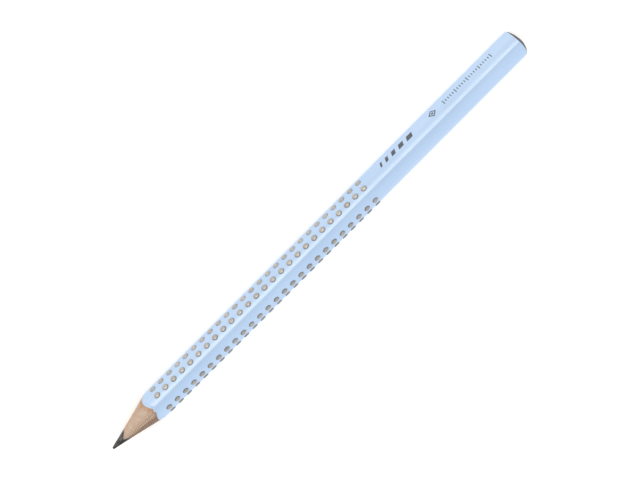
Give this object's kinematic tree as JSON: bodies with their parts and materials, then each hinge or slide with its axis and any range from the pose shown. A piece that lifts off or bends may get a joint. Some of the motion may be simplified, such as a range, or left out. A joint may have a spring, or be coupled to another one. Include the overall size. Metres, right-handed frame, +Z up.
{
  "type": "graphite pencil",
  "caption": "Jumbo graphite pencil with a rounded-triangular light blue lacquered barrel, raised grip dots, a sharpened wooden point and a dark domed end.",
  "frame": {"origin": "centre of the bottom of the bounding box: under the middle of the pencil, on the surface it lies on", "axes": "+X along the pencil from the writing tip to the dipped end, +Z up, away from the face it lies on, +Y to the side that carries the stamped marks"},
  "size_m": [0.175, 0.0098, 0.0097],
  "materials": {
    "graphite": "dark grey baked graphite and clay, with a dull metallic sheen",
    "wood": "bare light wood, finely sanded",
    "glue": "thin dry glue film",
    "lacquer": "smooth satin lacquer",
    "dip_paint": "thick dark paint, semi-gloss",
    "foil": "thin dark stamped pigment foil",
    "grip_dots": "raised soft-touch paint dots, satin"
  },
  "bodies": {
    "root": {"lead": "graphite", "slat_right": "wood", "slat_left": "wood", "glue_line": "glue", "lacquer_coat": "lacquer", "end_dip": "dip_paint", "foil_marks": "foil", "grip_dots_right_upper_front": "grip_dots", "grip_dots_right_upper_rear": "grip_dots", "grip_dots_right_lower_front": "grip_dots", "grip_dots_right_lower_rear": "grip_dots", "grip_dots_left_upper_front": "grip_dots", "grip_dots_left_upper_rear": "grip_dots", "grip_dots_left_lower_front": "grip_dots", "grip_dots_left_lower_rear": "grip_dots", "grip_dots_under_right_front": "grip_dots", "grip_dots_under_right_rear": "grip_dots", "grip_dots_under_left_front": "grip_dots", "grip_dots_under_left_rear": "grip_dots"}
  },
  "joints": []
}
